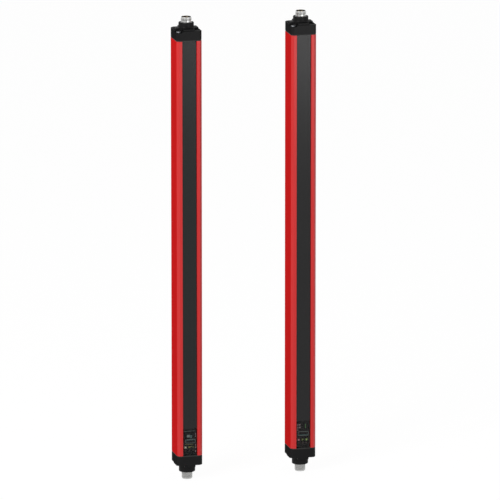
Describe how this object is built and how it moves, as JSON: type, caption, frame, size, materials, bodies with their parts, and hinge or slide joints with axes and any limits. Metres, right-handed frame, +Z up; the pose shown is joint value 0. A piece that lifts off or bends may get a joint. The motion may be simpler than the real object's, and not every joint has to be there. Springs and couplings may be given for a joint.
{
  "type": "safety light curtain",
  "caption": "Pair of slim upright bars, transmitter and receiver, that guard the space between them with infrared beams sent through dark front windows.",
  "frame": {"origin": "centre of the pair's bounding box, midway between the two bars", "axes": "+Z up along the bars, -Y out of the windows, +X from the transmitter to the receiver"},
  "size_m": [0.1554, 0.03, 0.513],
  "materials": {
    "red_coat": "satin powder coat on aluminium",
    "tinted_window": "smooth, dark, passes infrared",
    "seal_rubber": "matte",
    "cap_plastic": "fine moulded grain",
    "zinc_steel": "zinc plated",
    "nickel_shell": "satin nickel plate on brass",
    "insert_plastic": "moulded",
    "gold_contact": "gold plated",
    "nickel_nut": "satin nickel plate on brass",
    "board_laminate": "solder mask on glass fibre laminate",
    "flex_film": "polyimide film",
    "carrier_plastic": "moulded",
    "lens_plastic": "clear infrared passing plastic",
    "diode_body": "epoxy package",
    "chip_body": "epoxy package",
    "display_body": "moulded",
    "light_body": "diffusing package",
    "clear_plastic": "clear",
    "mask_film": "printed film"
  },
  "bodies": {
    "root": {"receiver_board_header": "chip_body", "receiver_bottom_cap": "cap_plastic", "receiver_bottom_cap_screws": "zinc_steel", "receiver_bottom_connector_shell": "nickel_shell", "receiver_bottom_contact_insert": "insert_plastic", "receiver_bottom_contact_pins": "gold_contact", "receiver_circuit_board": "board_laminate", "receiver_connector_boards": "board_laminate", "receiver_connector_leads": "flex_film", "receiver_connector_nuts": "nickel_nut", "receiver_connector_seals": "seal_rubber", "receiver_control_chips": "chip_body", "receiver_display_module": "display_body", "receiver_end_gaskets": "seal_rubber", "receiver_indicator_board": "board_laminate", "receiver_indicator_lights": "light_body", "receiver_indicator_mask": "mask_film", "receiver_lenses": "lens_plastic", "receiver_light_guide": "clear_plastic", "receiver_optics_carrier": "carrier_plastic", "receiver_photodiodes": "diode_body", "receiver_profile": "red_coat", "receiver_top_cap": "cap_plastic", "receiver_top_cap_screws": "zinc_steel", "receiver_top_connector_shell": "nickel_shell", "receiver_top_contact_insert": "insert_plastic", "receiver_top_contact_pins": "gold_contact", "receiver_window": "tinted_window", "receiver_window_seals": "seal_rubber", "transmitter_board_header": "chip_body", "transmitter_bottom_cap": "cap_plastic", "transmitter_bottom_cap_screws": "zinc_steel", "transmitter_bottom_connector_shell": "nickel_shell", "transmitter_bottom_contact_insert": "insert_plastic", "transmitter_bottom_contact_pins": "gold_contact", "transmitter_circuit_board": "board_laminate", "transmitter_connector_boards": "board_laminate", "transmitter_connector_leads": "flex_film", "transmitter_connector_nuts": "nickel_nut", "transmitter_connector_seals": "seal_rubber", "transmitter_control_chips": "chip_body", "transmitter_display_module": "display_body", "transmitter_emitters": "diode_body", "transmitter_end_gaskets": "seal_rubber", "transmitter_indicator_board": "board_laminate", "transmitter_indicator_lights": "light_body", "transmitter_indicator_mask": "mask_film", "transmitter_lenses": "lens_plastic", "transmitter_light_guide": "clear_plastic", "transmitter_optics_carrier": "carrier_plastic", "transmitter_profile": "red_coat", "transmitter_top_cap": "cap_plastic", "transmitter_top_cap_screws": "zinc_steel", "transmitter_top_connector_shell": "nickel_shell", "transmitter_top_contact_insert": "insert_plastic", "transmitter_top_contact_pins": "gold_contact", "transmitter_window": "tinted_window", "transmitter_window_seals": "seal_rubber"}
  },
  "joints": []
}
